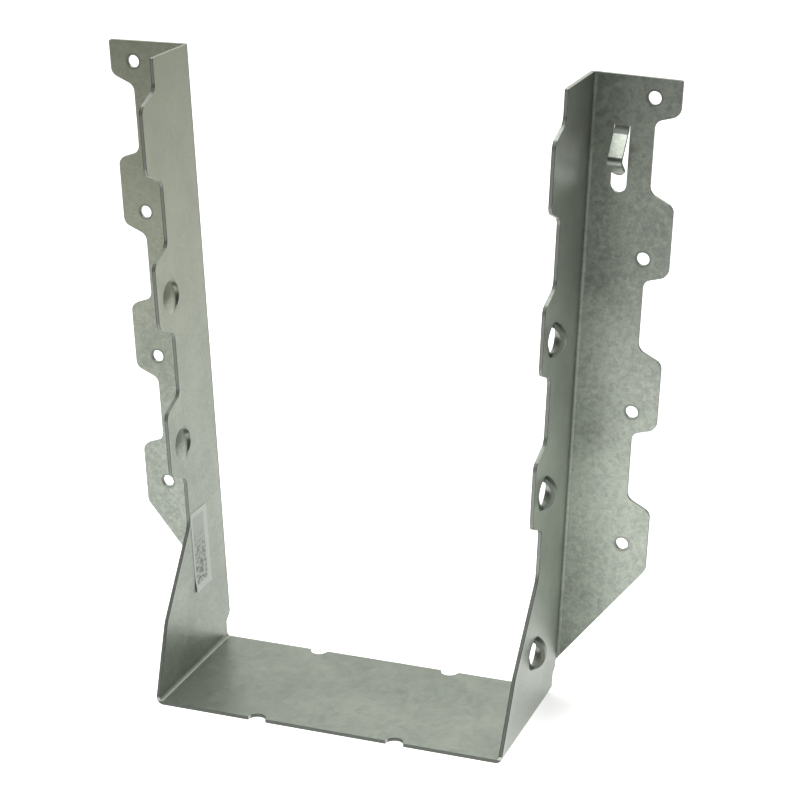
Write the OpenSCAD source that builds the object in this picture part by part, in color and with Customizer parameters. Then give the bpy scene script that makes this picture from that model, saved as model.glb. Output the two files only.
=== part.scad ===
// Face-mount joist hanger folded from one blank of galvanised sheet steel.
// A flat seat turns up into two side panels, and each panel turns out into a nailing flange
// that lies on the header. The header plane is at +Y, the joist comes in from -Y, and the
// hanger stands on the underside of its seat. The panels lean out a little until nailed.

/* [Sheet] */
// Thickness of the sheet
sheet_t = 1.2; // [0.9:0.1:1.6]
// Inside radius of every fold
fold_r = 1.2; // [0.8:0.1:2.4]

/* [Overall] */
// Clear width between the side panels at the seat
pocket_width = 117; // [90:1:180]
// Height, measured up the side panels
hanger_height = 208; // [160:1:260]
// Depth from the header plane to the front edge of the seat
hanger_depth = 58; // [54:1:66]
// Outward lean of each side panel in degrees
splay = 2.4; // [0:0.1:4]

/* [Side panels] */
// Depth of the +X side panel between its lugs, from the header plane
panel_depth = 28.6; // [25:0.2:30]
// How much shallower the -X side panel is, with its domes
left_trim = 2.2; // [0:0.2:3]
// How far each lug reaches forward of the panel
lug_reach = 10; // [8:0.5:12]
// Distance from the header plane back to the rear edge of the seat
seat_setback = 5; // [4:0.5:7]
// Height at which the front edge starts to slant out to the seat
taper_height = 51; // [46:1:56]
// Depth of the bend in the slanted edge, from the header plane
taper_knee_depth = 48; // [44:0.5:50]
// Height of the bend in the slanted edge
taper_knee_height = 25; // [20:0.5:28]

/* [Flanges] */
// Width of a flange at its nailing lobes, from the inner face of the panel
flange_width = 28.6; // [26:0.2:34]
// How far the flange narrows between its lobes
waist_drop = 7.8; // [5:0.2:9]
// Height of the slanted lower edge at the fold
skirt_foot = 9; // [7:0.5:12]
// Height of the slanted lower edge at its outer end
skirt_top = 47.8; // [42:0.2:50]

/* [Edge rhythm] */
// Distance from one nailing lobe to the next
row_pitch = 50.4; // [46:0.2:54]
// Height of the top nailing lobe
top_lobe = 12.1; // [11:0.1:14]
// Slope in degrees of the steeper shoulder of each flange lobe
steep_slope = 26; // [15:1:30]
// Slope in degrees of the gentler shoulder of each flange lobe
gentle_slope = 17; // [10:1:30]
// Slope in degrees of the shoulders of a panel lug
lug_slope = 22; // [10:1:30]
// Radius of the corners of lobes and lugs
shoulder_r = 3.2; // [1.5:0.1:3.6]
// How much higher the -X flange is at its outer top corner than at the fold
left_top_rise = 1; // [0:0.1:1.5]
// Radius of the corners at the top of the sheet
top_corner_r = 0.8; // [0.4:0.1:3]

/* [Nail holes] */
// Diameter of a nail hole
nail_hole_d = 4.2; // [3.8:0.1:5]
// Distance from a nail hole to the outer edge of its lobe
nail_edge = 8.3; // [6:0.1:10]
// Height of a nail hole above the lower shoulder of its lobe
nail_lift = 6; // [5:0.1:7]
// Height of the lowest nail hole above the slanted lower edge
low_nail_lift = 7.9; // [6:0.1:10]

/* [Nailing domes] */
// Outer radius of the pressed dome
dome_r = 5.8; // [5:0.1:6.5]
// How far the dome stands out from the panel
dome_rise = 3.9; // [3:0.1:4.5]
// How far the slit of each dome lies forward of the panel's edge between lugs
slit_reach = 0.6; // [0:0.2:2]
// Distance from the slit back to the middle of the dome
dome_setback = 1.2; // [0.5:0.1:2]
// How far the lip in front of the slit is pressed in
lip_drop = 1.5; // [0.8:0.1:2]
// Half length of the pressed lip
lip_reach = 5.2; // [4:0.1:6]
// Drop from the top of a lug to the middle of its dome
dome_drop = 14.8; // [12:0.1:16]
// Height of the low dome, which only the side at +X has
low_dome_height = 24.8; // [20:0.2:26]

/* [Holding prongs] */
// Width of the slot that a prong is cut from
slot_width = 5.2; // [4:0.1:6]
// Distance from the inner face of the panel to the middle of the slot
slot_offset = 10.8; // [9.5:0.1:12]
// Distance from the top of the flange to the slot
slot_drop = 15.5; // [14:0.5:18]
// Length of the slot
slot_length = 21; // [18:0.5:22]
// Clearance on each side of a prong in its slot
prong_clearance = 0.4; // [0.1:0.05:0.6]
// Angle in degrees between the flange and the upper leg of a prong
prong_angle = 36; // [28:1:40]
// Inside radius of the bend at the root of a prong
prong_root_r = 2.4; // [1.2:0.1:3]
// Length of the upper leg of a prong
prong_leg = 12; // [10:0.2:12.6]

/* [Seat notches] */
// Radius of each locating notch in the edges of the seat
notch_r = 3; // [1.5:0.1:4]
// Distance from the middle of the seat to each notch
notch_offset = 23.8; // [15:0.2:30]

/* [Hidden] */
$fn = 64;
steel_colour = [0.62, 0.65, 0.62];
// Spare length that a cutter runs past a face
past = 1;
// Hair by which a round surface crosses a flat one that it would otherwise only touch
hair = 0.001;
// Overlap of a flat piece of sheet into the end of a fold, and of the fold into the flat piece
flat_lap = 0.04;
// Step between the ends of a fold and of the flat piece beside it
ledge = 0.01;
// Angle in degrees by which a fold is lapped into the flat pieces at its ends
fold_lap_angle = 4;
// Least straight edge kept under the lowest lug and beside the lowest nail hole
edge_room = 12;
fold_out_r = fold_r + sheet_t;
header_y = hanger_depth / 2;
flange_waist = flange_width - waist_drop;
skirt_slope = (skirt_top - skirt_foot) / flange_width;
// Height available to the repeating lobes, and how many lobes and lugs fit in it
top_shoulder = hanger_height - top_lobe;
lobe_count = floor((top_shoulder + row_pitch / 2 - skirt_top - edge_room) / row_pitch) + 1;
lug_count = floor((top_shoulder - row_pitch / 2 - taper_height - edge_room) / row_pitch) + 1;
// Half width of the flat part of the seat, and the height where the flat part of a panel starts
seat_half = pocket_width / 2 + (fold_out_r * sin(splay) - fold_r) / cos(splay);
panel_start = (fold_out_r - fold_r * sin(splay)) / cos(splay);
lip_r = (lip_reach ^ 2 + lip_drop ^ 2) / (2 * lip_drop);
// Half size of the boxes that part the pressed shapes, clear of their surfaces
press_room = 2 * lip_r + sheet_t + past;
prong_width = slot_width - 2 * prong_clearance;
// Lower leg of a prong, as long as brings its tip back to the front face of the flange
prong_tip_leg = prong_leg * tan(prong_angle);
prong_drop = prong_root_r * tan(prong_angle / 2) + prong_leg / cos(prong_angle);

// Height of the lower shoulder of lobe k, which is also the upper shoulder of lug k
function shoulder(k) = top_shoulder - k * row_pitch;

// Height of the slanted lower edge of the flange at a distance from the panel
function skirt_at(u) = skirt_foot + u * skirt_slope;

// Heights of the domes in all lugs but the top one
lug_domes = [for (k = [1:lug_count - 1]) shoulder(k) - dome_drop];

function unit(v) = v / norm(v);
function ray(angle) = [cos(angle), sin(angle)];

// Tangent points and centre of the arc that rounds a corner, and whether the corner points out
function corner_arc(before, corner, after) =
    let (
        at = [corner.x, corner.y],
        back = unit([before.x, before.y] - at),
        ahead = unit([after.x, after.y] - at),
        half = acos(back * ahead) / 2
    )
    [
        at + back * corner.z / tan(half),
        at + ahead * corner.z / tan(half),
        at + unit(back + ahead) * corner.z / sin(half),
        ahead.x * back.y > ahead.y * back.x
    ];

// What a rounded corner lacks or gains: the sharp corner outside its arc
module corner_spandrel(arc, corner) {
    beyond = [corner.x, corner.y] - arc[2];
    difference() {
        polygon([arc[0], arc[1], arc[1] + beyond, arc[0] + beyond]);
        translate(arc[2]) circle(r = corner.z + hair);
    }
}

// Outline whose corners are true arcs. Each corner is [x, y, radius], counter-clockwise.
module rounded_outline(corners) {
    last = len(corners) - 1;
    arcs = [
        for (i = [0:last])
            corner_arc(corners[i == 0 ? last : i - 1], corners[i], corners[i == last ? 0 : i + 1])
    ];
    difference() {
        union() {
            polygon([for (corner = corners) [corner.x, corner.y]]);
            for (i = [0:last])
                if (corners[i].z > 0 && !arcs[i][3]) corner_spandrel(arcs[i], corners[i]);
        }
        for (i = [0:last])
            if (corners[i].z > 0 && arcs[i][3]) corner_spandrel(arcs[i], corners[i]);
    }
}

// Stands a flat drawing up in the plane of a flange, with its back on the header plane
module on_header(depth) {
    rotate([90, 0, 0]) linear_extrude(depth) children();
}

// Stands a drawing of depth and height up in the plane of a panel, as thick as given
module on_panel(thickness) {
    translate([thickness, 0, 0]) rotate([90, 0, -90]) linear_extrude(thickness) children();
}

// Section of a fold through the given angle about the origin. It can be lapped into the flats
// at both ends by an angle, and be thicker by a hair on each face.
module fold_section(turn, lap, extra) {
    reach = 2 * fold_out_r;
    intersection() {
        difference() {
            circle(r = fold_out_r + extra);
            circle(r = fold_r - extra);
        }
        polygon([[0, 0], reach * ray(-lap), 2 * reach * ray(turn / 2), reach * ray(turn + lap)]);
    }
}

// Front edge of a panel with its lugs, and the slanted edge out to the seat
module panel_outline(depth) {
    lug_depth = depth + lug_reach;
    step = lug_reach * tan(lug_slope) / 2;
    rounded_outline([
        [seat_setback + ledge, panel_start - flat_lap, 0],
        [hanger_depth - ledge, panel_start - flat_lap, 0],
        [taper_knee_depth, taper_knee_height, 2 * shoulder_r],
        [depth, taper_height, 2 * shoulder_r],
        for (k = [lug_count - 1:-1:0]) each [
            [depth, shoulder(k) - row_pitch / 2 - step, shoulder_r],
            [lug_depth, shoulder(k) - row_pitch / 2 + step, shoulder_r],
            [lug_depth, shoulder(k) - step, shoulder_r],
            [depth, shoulder(k) + step, shoulder_r]
        ],
        [depth, hanger_height, top_corner_r],
        [fold_out_r, hanger_height, 0],
        [fold_out_r, skirt_foot - sheet_t / 2, 0],
        [seat_setback + ledge, skirt_foot - fold_out_r, 0]
    ]);
}

// A dome is drawn with its slit in the XZ plane. This keeps what lies behind the slit.
module behind_slit() {
    intersection() {
        children();
        translate([-press_room, 0, -press_room]) cube(2 * press_room);
    }
}

// Keeps what lies in front of the slit
module before_slit() {
    intersection() {
        children();
        translate([-press_room, -2 * press_room, -press_room]) cube(2 * press_room);
    }
}

module dome_ball(radius) {
    behind_slit() translate([sheet_t + dome_rise - dome_r, dome_setback, 0]) sphere(r = radius);
}

module lip_ball(radius) {
    before_slit() translate([sheet_t - lip_drop + lip_r, 0, 0]) sphere(r = radius);
}

// Dome pressed out behind the slit, and the lip pressed in before it
module pressed_dome() {
    intersection() {
        dome_ball(dome_r);
        translate([sheet_t / 2, -past, -press_room]) cube(2 * press_room);
    }
    intersection() {
        lip_ball(lip_r + sheet_t);
        translate([sheet_t / 2 - 2 * press_room, past - 2 * press_room, -press_room]) cube(2 * press_room);
    }
}

// Side panel with open domes at the given heights
module panel(depth, rows) {
    slits = [for (height = rows) [0, -depth - slit_reach, height]];
    difference() {
        union() {
            on_panel(sheet_t) panel_outline(depth);
            for (slit = slits) translate(slit) pressed_dome();
        }
        for (slit = slits) translate(slit) {
            dome_ball(dome_r - sheet_t);
            lip_ball(lip_r);
        }
    }
}

// Wavy outline of a flange, which also trims the fold beside it
module flange_outline(under_slope, over_slope, top_rise) {
    under = waist_drop * tan(under_slope) / 2;
    over = waist_drop * tan(over_slope) / 2;
    rounded_outline([
        [-past, skirt_at(-past), 0],
        [flange_width, skirt_top, shoulder_r],
        for (k = [lobe_count - 1:-1:1]) each [
            [flange_width, shoulder(k) + row_pitch / 2 - over, shoulder_r],
            [flange_waist, shoulder(k) + row_pitch / 2 + over, shoulder_r],
            [flange_waist, shoulder(k - 1) - under, shoulder_r],
            [flange_width, shoulder(k - 1) + under, shoulder_r]
        ],
        [flange_width, hanger_height + top_rise, top_corner_r],
        [fold_out_r, hanger_height, 0],
        [-past, hanger_height, 0]
    ]);
}

// Slot drawn down from its upper end, rounded at its lower end
module slot_outline(width, length) {
    translate([-width / 2, width / 2 - length]) square([width, length - width / 2]);
    translate([0, width / 2 - length]) circle(d = width);
}

// Prong seen from the side: out from the flange to a crest, then back towards the header
module prong_profile() {
    down = [sin(prong_angle), -cos(prong_angle)];
    back = [-cos(prong_angle), -sin(prong_angle)];
    hinge = [0, -(prong_root_r + sheet_t) * tan(prong_angle / 2)];
    root = hinge + sheet_t * [1, tan(prong_angle / 2)];
    crest = root + down * prong_leg;
    inner_crest = crest + (back - down) * sheet_t;
    tip = crest + back * prong_tip_leg;
    inner_tip = tip - down * sheet_t;
    rounded_outline([
        [0, past, 0],
        [hinge.x, hinge.y, prong_root_r + sheet_t],
        [inner_crest.x, inner_crest.y, sheet_t],
        [inner_tip.x, inner_tip.y, 0],
        [tip.x, tip.y, 0],
        [crest.x, crest.y, 2 * sheet_t],
        [root.x, root.y, prong_root_r],
        [sheet_t, past, 0]
    ]);
}

module prong() {
    intersection() {
        translate([-prong_width / 2, 0, 0]) on_panel(prong_width) prong_profile();
        on_header(hanger_depth) translate([0, past]) slot_outline(prong_width, prong_drop + past);
    }
}

// Flange and the fold beside it, cut to one outline, with nail holes and a prong
module flange(under_slope, over_slope, top_rise) {
    blank_height = hanger_height + 2 * past;
    nail_heights = [
        skirt_top + low_nail_lift,
        for (k = [lobe_count - 2:-1:0]) shoulder(k) + nail_lift
    ];
    difference() {
        intersection() {
            union() {
                translate([fold_out_r, -sheet_t, 0]) cube([flange_width, sheet_t, blank_height]);
                translate([fold_out_r, -fold_out_r, 0])
                    rotate([0, 0, 90]) linear_extrude(blank_height) fold_section(90, 0, 0);
            }
            translate([0, past, 0])
                on_header(2 * fold_out_r) flange_outline(under_slope, over_slope, top_rise);
        }
        for (height = nail_heights)
            translate([flange_width - nail_edge, past, height])
                rotate([90, 0, 0]) cylinder(d = nail_hole_d, h = sheet_t + 2 * past);
        translate([slot_offset, past, hanger_height - slot_drop])
            on_header(sheet_t + 2 * past) slot_outline(slot_width, slot_length);
    }
    translate([slot_offset, 0, hanger_height - slot_drop]) prong();
}

// Puts a panel and its flange at the end of the seat, with their lean
module beside_pocket() {
    translate([pocket_width / 2, 0, 0]) rotate([0, splay, 0]) children();
}

// Flat seat and the folds at its two ends
module seat() {
    half = seat_half + flat_lap;
    difference() {
        translate([0, -seat_setback, 0]) on_header(hanger_depth - seat_setback) {
            translate([-half, 0]) square([2 * half, sheet_t]);
            for (flip = [0, 1])
                mirror([flip, 0]) translate([seat_half, fold_out_r])
                    rotate(-90) fold_section(90 - splay, fold_lap_angle, hair);
        }
        for (x = [-notch_offset, notch_offset])
            for (y = [-hanger_depth, -seat_setback])
                translate([x, y, -past]) cylinder(r = notch_r, h = sheet_t + 2 * past);
    }
}

module hanger() {
    color(steel_colour) translate([0, header_y, 0]) {
        seat();
        beside_pocket() {
            panel(panel_depth, [low_dome_height, each lug_domes]);
            flange(gentle_slope, steep_slope, 0);
        }
        mirror([1, 0, 0]) beside_pocket() {
            panel(panel_depth - left_trim, lug_domes);
            flange(steep_slope, gentle_slope, left_top_rise);
        }
    }
}

hanger();
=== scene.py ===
import math

import bmesh
import bpy
from mathutils import Euler, Matrix, Vector


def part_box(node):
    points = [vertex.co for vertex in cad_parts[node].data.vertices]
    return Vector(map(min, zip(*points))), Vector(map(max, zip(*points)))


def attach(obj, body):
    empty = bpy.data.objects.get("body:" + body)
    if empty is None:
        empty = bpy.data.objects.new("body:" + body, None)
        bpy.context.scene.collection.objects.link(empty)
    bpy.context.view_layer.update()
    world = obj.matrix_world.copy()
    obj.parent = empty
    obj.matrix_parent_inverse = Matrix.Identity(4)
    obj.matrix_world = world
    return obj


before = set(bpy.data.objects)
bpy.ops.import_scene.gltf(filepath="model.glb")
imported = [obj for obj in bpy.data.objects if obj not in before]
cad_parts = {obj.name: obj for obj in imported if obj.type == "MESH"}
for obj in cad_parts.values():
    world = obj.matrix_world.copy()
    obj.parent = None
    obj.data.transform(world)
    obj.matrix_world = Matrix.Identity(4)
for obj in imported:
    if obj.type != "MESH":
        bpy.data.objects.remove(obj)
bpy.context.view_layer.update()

# The folded hanger: seat, side panels and nailing flanges in one piece, pressed and folded from
# hot-dip galvanised sheet steel. The zinc carries a faint spangle, the mill's rolling streaks and
# handling scuffs, and the sheared edges show bare steel.
SHEET = 0.0012
FOLD_OUT = 0.0024
POCKET_HALF = 0.0585
PANEL_LEAN = math.radians(2.4)
PAST_PANEL = 5.0
SPANGLE_CELLS, FLAKE_CELLS = 170.0, 620.0
ROUGHNESS, GRAIN_RELIEF = 0.29, 0.0003
ZINC_DARK = (0.215, 0.238, 0.208, 1.0)
ZINC_PALE = (0.375, 0.400, 0.352, 1.0)
ZINC_WARM = (0.290, 0.300, 0.215, 1.0)
CUT_STEEL = (0.215, 0.232, 0.208, 1.0)
# The dark of painted shade: along the rims of cut edges, on the seat's cut edges, around holes and domes
# and in folds
SHADE_DARK = (0.040, 0.045, 0.038, 1.0)
# The slits of the open nail domes, as side, depth and height. Around each the zinc is rougher and
# painted darker as shade in the dome's pressed recess, more on the left panel than on the right.
DOME_SLITS = ((1, -0.0002, 0.0248), (1, -0.0002, 0.0803), (1, -0.0002, 0.1307),
              (-1, 0.0020, 0.0803), (-1, 0.0020, 0.1307))
DOME_SHADE_BACK, DOME_SHADE_DEEP, DOME_SHADE_TALL = 0.0017, 0.0030, 0.0056
DOME_SHADE_RIGHT, DOME_SHADE_LEFT = 0.15, 0.35
# The nail holes of each flange, as distance from the middle of the hanger and height, and the ring
# of painted shade around the rim of each
NAIL_HOLES = ((0.0811, 0.0548), (0.0830, 0.1002), (0.0851, 0.1505), (0.0872, 0.2009))
RING_INNER, RING_OUTER = 0.0022, 0.0030
header_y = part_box("hanger")[1][1]


class Line:
    """A shader socket that takes part in sums."""

    def __init__(self, nodes, socket):
        self.nodes, self.socket = nodes, socket

    def sum(self, operation, *others):
        node = self.nodes.add("ShaderNodeMath", {"operation": operation})
        for slot, value in enumerate((self, *others)):
            self.nodes.join(node.inputs[slot], value)
        return Line(self.nodes, node.outputs[0])

    def __add__(self, other): return self.sum("ADD", other)
    def __sub__(self, other): return self.sum("SUBTRACT", other)
    def __mul__(self, other): return self.sum("MULTIPLY", other)
    def __truediv__(self, other): return self.sum("DIVIDE", other)
    def __gt__(self, other): return self.sum("GREATER_THAN", other)
    def __lt__(self, other): return self.sum("LESS_THAN", other)
    def __abs__(self): return self.sum("ABSOLUTE")
    def __pow__(self, other): return self.sum("POWER", other)
    __radd__ = __add__
    __rmul__ = __mul__

    def __rsub__(self, other):
        return (self * -1.0) + other


class Finish:
    """The nodes of one finish, ending in the shader that they feed."""

    def __init__(self, holder, ending="Principled BSDF", **shader):
        self.holder = holder
        holder.use_nodes = True
        self.tree = holder.node_tree
        self.shader = self.tree.nodes[ending]
        for key, value in shader.items():
            self.shader.inputs[key.replace("_", " ").title()].default_value = value

    def add(self, kind, settings=None, **sockets):
        node = self.tree.nodes.new(kind)
        for key, value in (settings or {}).items():
            setattr(node, key, value)
        for key, value in sockets.items():
            self.join(node.inputs[key.replace("_", " ")], value)
        return node

    def get(self, kind, output, settings=None, **sockets):
        return Line(self, self.add(kind, settings, **sockets).outputs[output])

    def join(self, socket, value):
        if isinstance(value, Line):
            self.tree.links.new(value.socket, socket)
        else:
            socket.default_value = value

    def place(self, stretch=(1.0, 1.0, 1.0)):
        coords = self.get("ShaderNodeTexCoord", "Object")
        return self.get("ShaderNodeMapping", "Vector", Vector=coords, Scale=stretch)

    def noise(self, scale, detail=3.0, stretch=(1.0, 1.0, 1.0), rough=0.5):
        return self.get("ShaderNodeTexNoise", "Fac", Vector=self.place(stretch), Scale=scale,
                        Detail=detail, Roughness=rough)

    def cells(self, scale, channel):
        cell = self.get("ShaderNodeTexVoronoi", "Color", {"feature": "F1"}, Vector=self.place(),
                        Scale=scale)
        return self.get("ShaderNodeSeparateColor", channel, Color=cell)

    def axes(self, output):
        """The three parts of the object's coordinates, or of its normal."""
        vector = self.get("ShaderNodeTexCoord", output)
        return [self.get("ShaderNodeSeparateXYZ", axis, Vector=vector) for axis in "XYZ"]

    def ramp(self, value, low, high):
        return self.get("ShaderNodeMapRange", "Result", {"interpolation_type": "SMOOTHSTEP"}, Value=value,
                        From_Min=low, From_Max=high)

    def blend(self, share, first, second):
        node = self.tree.nodes.new("ShaderNodeMix")
        node.data_type = "RGBA"
        for slot, value in ((0, share), (6, first), (7, second)):
            self.join(node.inputs[slot], value)
        return Line(self, node.outputs[2])

    def feed(self, **lines):
        for key, line in lines.items():
            self.join(self.shader.inputs[key.replace("_", " ").title()], line)

    def emboss(self, height, strength, depth):
        return self.get("ShaderNodeBump", "Normal", Height=height, Strength=strength, Distance=depth)


zinc = Finish(bpy.data.materials.new("galvanised_zinc"), metallic=0.88)
spangle = zinc.cells(SPANGLE_CELLS, "Red")
flakes = zinc.cells(FLAKE_CELLS, "Green")
cloud = zinc.noise(30.0, 4.0)
grain = zinc.noise(1100.0, 2.0)
mottle = zinc.noise(330.0, 3.0, rough=0.65)
streaks = zinc.noise(70.0, 3.0, stretch=(1.0, 1.0, 0.06))
scuffs = zinc.ramp(zinc.noise(420.0, 2.0, stretch=(0.12, 0.5, 1.0)), 0.68, 0.74)

# Where on the sheet a point lies: in a flange, a side panel, the seat or the fold beside a flange. A
# face that doesn't face as its region does is a sheared edge. The holding prongs stand out past the
# last limit of the panels.
spot_x, spot_y, spot_z = zinc.axes("Object")
facing_x, facing_y, facing_z = (abs(part) for part in zinc.axes("Normal"))
in_flange = spot_y > (header_y - 1.05 * SHEET)
in_seat = spot_z < 1.02 * SHEET
out_of_pocket = abs(spot_x) - POCKET_HALF
through_panel = (out_of_pocket * math.cos(PANEL_LEAN) - spot_z * math.sin(PANEL_LEAN)) / SHEET
in_panel = (spot_y < (header_y - FOLD_OUT)) * (spot_z > FOLD_OUT) * (through_panel < PAST_PANEL)
in_fold = (spot_y > (header_y - FOLD_OUT)) * (spot_y < (header_y - SHEET)) * (spot_z > FOLD_OUT)
sheared = (in_flange * (facing_y < 0.3) + in_panel * (facing_x < 0.25)
           + in_seat * (facing_z < 0.3) * (facing_x < 0.9))
# Cut edges that face up get a painted highlight
top_highlight = facing_z > 0.8

# How far through the sheet a point of a sheared edge lies, and the painted shade along both its rims
through = (in_flange * ((header_y - spot_y) / SHEET) + in_panel * through_panel
           + in_seat * (spot_z / SHEET))
off_middle = abs(through - 0.5)
rim_shade = zinc.ramp(off_middle, 0.28, 0.46) * (off_middle < 0.6)

# A ring of painted shade around the rim of a nail hole
hole_rim_shade = 0.0
for out, height in NAIL_HOLES:
    off_x, off_z = abs(spot_x) - out, spot_z - height
    hole_rim_shade = zinc.ramp((off_x * off_x + off_z * off_z) ** 0.5, RING_OUTER, RING_INNER) + hole_rim_shade

# Painted shade in the pressed recess around the slit of a dome; the same patch is made rougher
dome_shade = 0.0
for side, depth, height in DOME_SLITS:
    off_y, off_z = (spot_y - depth - DOME_SHADE_BACK) / DOME_SHADE_DEEP, (spot_z - height) / DOME_SHADE_TALL
    near = zinc.ramp(off_y * off_y + off_z * off_z, 1.3, 0.4)
    dome_shade = near * (spot_x * side > 0.0) * (DOME_SHADE_RIGHT if side > 0 else DOME_SHADE_LEFT) + dome_shade

# The speckle shows most on the flanges and least on the seat; the side panels are smeared
speckle = (flakes * 0.15 + mottle * 0.20 + grain * 0.44 - 0.395) * (facing_y * 1.2 + facing_x * 0.5 + 0.3)
smears = (zinc.noise(75.0, 3.0, stretch=(1.0, 0.7, 1.0)) - 0.5) * facing_x * 0.35
tone = cloud * 0.4 + spangle * 0.08 + streaks * 0.2 + speckle + smears + 0.16
coat = zinc.blend(zinc.ramp(tone, 0.1, 0.9), ZINC_DARK, ZINC_PALE)
coat = zinc.blend(scuffs * 0.3, coat, ZINC_PALE)
warmth = zinc.ramp(spot_z, 0.04, 0.19) * (spot_x < 0.0) * (cloud * 0.5 + 0.3)
coat = zinc.blend(warmth, coat, ZINC_WARM)
# Painted shade in the dome recesses
coat = zinc.blend(dome_shade * (spot_z > FOLD_OUT), coat, SHADE_DARK)
# Painted shade around the nail holes of the flanges
coat = zinc.blend(hole_rim_shade * in_flange * 0.5, coat, SHADE_DARK)
# Painted shade in the crease of the fold beside each flange
coat = zinc.blend(in_fold * 0.35, coat, SHADE_DARK)
# Painted shade along both rims of each cut edge, left off the edges that face up
edge = zinc.blend(rim_shade * (1.0 - top_highlight), CUT_STEEL, SHADE_DARK)
# Painted shade on the seat's cut edges, down where they meet the floor
edge = zinc.blend(in_seat * 0.7, edge, SHADE_DARK)
# Painted highlight on the cut edges that face up
edge = zinc.blend(top_highlight * 0.8, edge, ZINC_PALE)
dulled = sheared * 0.2 + dome_shade * 0.4 + in_fold * 0.15
zinc.feed(base_color=zinc.blend(sheared * 0.9, coat, edge),
          roughness=ROUGHNESS + flakes * 0.05 + mottle * 0.1 + dulled,
          normal=zinc.emboss(mottle * 0.5 + grain * 0.35 + flakes * 0.15, 0.2, GRAIN_RELIEF))
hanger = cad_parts["hanger"]
hanger.data.materials.clear()
hanger.data.materials.append(zinc.holder)

# The adhesive label: a small clear film with a pale border and soft printed mottling, stuck inside
# the left side panel. Its lower front corner has come away from the steel.
LABEL_DEEP, LABEL_TALL, LABEL_FILM = 0.0121, 0.0284, 0.00012
LABEL_REAR, LABEL_FOOT = 0.0150, 0.0262
LABEL_CELLS = 24
LIFTED, LIFTED_REACH = 0.0006, 0.0075
FILM_PALE = (0.39, 0.42, 0.38, 1.0)
PRINT_PALE, PRINT_DARK = (0.29, 0.315, 0.28, 1.0), (0.07, 0.08, 0.07, 1.0)

film = bmesh.new()
bmesh.ops.create_grid(film, x_segments=LABEL_CELLS, y_segments=2 * LABEL_CELLS, size=0.5, calc_uvs=False)
bmesh.ops.scale(film, vec=(LABEL_DEEP, LABEL_TALL, 1.0), verts=film.verts)
for vert in film.verts:
    corner = max(0.0, 1.0 - (vert.co.x + LABEL_DEEP / 2 + vert.co.y + LABEL_TALL / 2) / LIFTED_REACH)
    vert.co.z = LABEL_FILM + LIFTED * corner ** 2
upright = Matrix(((0, 0, 1), (1, 0, 0), (0, 1, 0))).to_4x4()
middle = Matrix.Translation((0.0, LABEL_REAR - LABEL_DEEP / 2, LABEL_FOOT + LABEL_TALL / 2))
against_panel = Matrix.Translation((-POCKET_HALF, 0, 0)) @ Matrix.Rotation(-PANEL_LEAN, 4, "Y")
bmesh.ops.transform(film, matrix=against_panel @ middle @ upright, verts=film.verts)
bmesh.ops.solidify(film, geom=film.faces, thickness=LABEL_FILM)
bmesh.ops.recalc_face_normals(film, faces=film.faces)
label_mesh = bpy.data.meshes.new("label_film")
film.to_mesh(label_mesh)
film.free()
label = bpy.data.objects.new("label_film", label_mesh)
bpy.context.scene.collection.objects.link(label)

paper = Finish(bpy.data.materials.new("label_film"), metallic=0.6, roughness=0.33)
label_spot = paper.axes("Object")
across = (label_spot[1] - (LABEL_REAR - LABEL_DEEP)) / LABEL_DEEP
up = (label_spot[2] - LABEL_FOOT) / LABEL_TALL
printed = (paper.ramp(across, 0.05, 0.12) * paper.ramp(across, 0.80, 0.74)
           * paper.ramp(up, 0.07, 0.11) * paper.ramp(up, 0.95, 0.91))
blotches = paper.ramp(paper.noise(750.0, 2.0, stretch=(1.0, 0.7, 1.3)), 0.42, 0.62)
print_tone = paper.blend(blotches * paper.ramp(up, 0.85, 0.35), PRINT_PALE, PRINT_DARK)
paper.feed(base_color=paper.blend(printed * 0.9, FILM_PALE, print_tone),
           normal=paper.emboss(paper.noise(220.0, 2.0), 0.2, GRAIN_RELIEF))
label_mesh.materials.append(paper.holder)
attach(label, "root")

# The floor: a plain pale sweep over a light table, which glows under and behind the hanger, most
# along a strip just before it and its right end, and then fades out.
TABLE_MIDDLE, TABLE_FULL, TABLE_EDGE = (-0.2, 0.62), 0.95, 1.50
FRONT_FULL, FRONT_EDGE = -0.18, -0.45
STRIP_REAR_FULL, STRIP_REAR_EDGE = -0.05, 0.03
RIGHT_FULL, RIGHT_EDGE = 0.27, 0.46
END_FULL, END_EDGE = 0.13, 0.06
END_REAR_FULL, END_REAR_EDGE = -0.07, 0.05
TABLE_GLOW, STRIP_GLOW, END_GLOW = 0.57, 0.90, 1.0
FLOOR_HALF, FLOOR_DROP = 6.0, 0.0002
floor_mesh = bpy.data.meshes.new("floor")
sweep = bmesh.new()
bmesh.ops.create_grid(sweep, x_segments=1, y_segments=1, size=FLOOR_HALF)
sweep.to_mesh(floor_mesh)
sweep.free()
floor = bpy.data.objects.new("floor", floor_mesh)
floor.location.z = -FLOOR_DROP
bpy.context.scene.collection.objects.link(floor)
pale = Finish(bpy.data.materials.new("pale_floor"), roughness=0.9, base_color=(0.86, 0.86, 0.86, 1.0),
              emission_strength=1.0)
ground_x, ground_y, _ = pale.axes("Object")
off_x, off_y = ground_x - TABLE_MIDDLE[0], ground_y - TABLE_MIDDLE[1]
round_edge = pale.ramp((off_x * off_x + off_y * off_y) ** 0.5, TABLE_EDGE, TABLE_FULL)
leftward = pale.ramp(ground_x, 0.02, -0.2)
front_edge = pale.ramp(ground_y + leftward * 0.30, FRONT_EDGE, FRONT_FULL)
front_strip = pale.ramp(ground_y, STRIP_REAR_EDGE, STRIP_REAR_FULL) * (1.0 - leftward * 0.7)
right_edge = pale.ramp(ground_x - ground_y * 0.6, RIGHT_EDGE, RIGHT_FULL)
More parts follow.
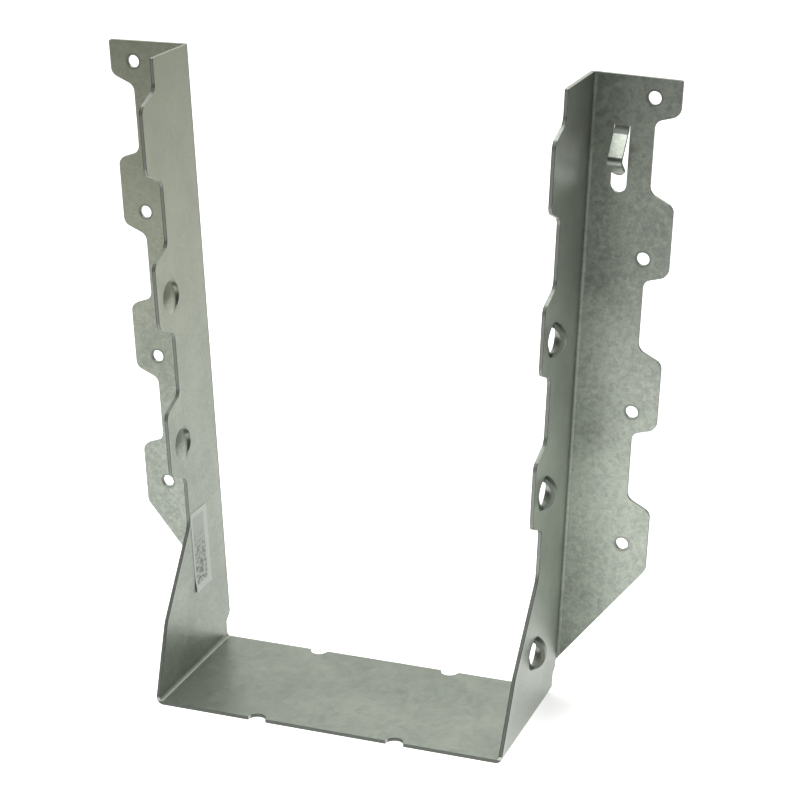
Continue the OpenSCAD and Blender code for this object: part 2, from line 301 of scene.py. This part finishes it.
right_end = (pale.ramp(ground_x, END_EDGE, END_FULL)
             * pale.ramp(ground_y, END_REAR_EDGE, END_REAR_FULL))
# The floor's glow is painted light: the floor itself shines, strongest near the hanger, and washes out
# shadows on it
glow = front_strip * STRIP_GLOW + right_end * END_GLOW + leftward * 0.12 + TABLE_GLOW
pale.feed(emission_color=round_edge * front_edge * right_edge * glow)
floor_mesh.materials.append(pale.holder)

# The studio: a broad soft lamp over and behind the hanger, a small one high before it, and walls
# that are pale behind the hanger and dim before it.
WALL_PALE, WALL_DIM = (0.6045, 0.62, 0.5766, 1.0), (0.0488, 0.05, 0.0465, 1.0)


def soft_lamp(name, stand, size, watts, aim=(0.0, 0.0, 0.08), spread=180.0):
    lamp = bpy.data.lights.new(name, "AREA")
    lamp.shape, lamp.size, lamp.energy, lamp.spread = "SQUARE", size, watts, math.radians(spread)
    holder = bpy.data.objects.new(name, lamp)
    holder.location = stand
    holder.rotation_euler = (Vector(aim) - Vector(stand)).to_track_quat("-Z", "Y").to_euler()
    bpy.context.scene.collection.objects.link(holder)


soft_lamp("overhead_lamp", (-0.1, 0.75, 1.5), 1.2, 17.0)
soft_lamp("front_lamp", (-0.28, -0.70, 1.35), 0.5, 0.32, aim=(0.08, 0.02, 0.185), spread=35.0)
scene = bpy.context.scene
scene.world = bpy.data.worlds.new("studio")
walls = Finish(scene.world, "Background", strength=1.0)
wall_side = walls.axes("Generated")[1]
walls.feed(color=walls.blend(walls.ramp(wall_side, -0.4, 0.6), WALL_DIM, WALL_PALE))
scene.view_settings.view_transform = "Standard"

# The camera, at the height of a person who looks down at the hanger on a bench.
CAMERA_AT = (0.25061, -0.62085, 0.34245)
LOOK_DOWN, SWING, TILT = 19.642, 20.740, -0.34
lens = bpy.data.cameras.new("camera")
lens.sensor_width, lens.lens = 36.0, 101.1
camera = bpy.data.objects.new("camera", lens)
turn = Euler((math.radians(90 - LOOK_DOWN), 0.0, math.radians(SWING))).to_matrix()
turn = turn @ Matrix.Rotation(math.radians(TILT), 3, "Z")
camera.matrix_world = Matrix.Translation(CAMERA_AT) @ turn.to_4x4()
scene.collection.objects.link(camera)
scene.camera = camera
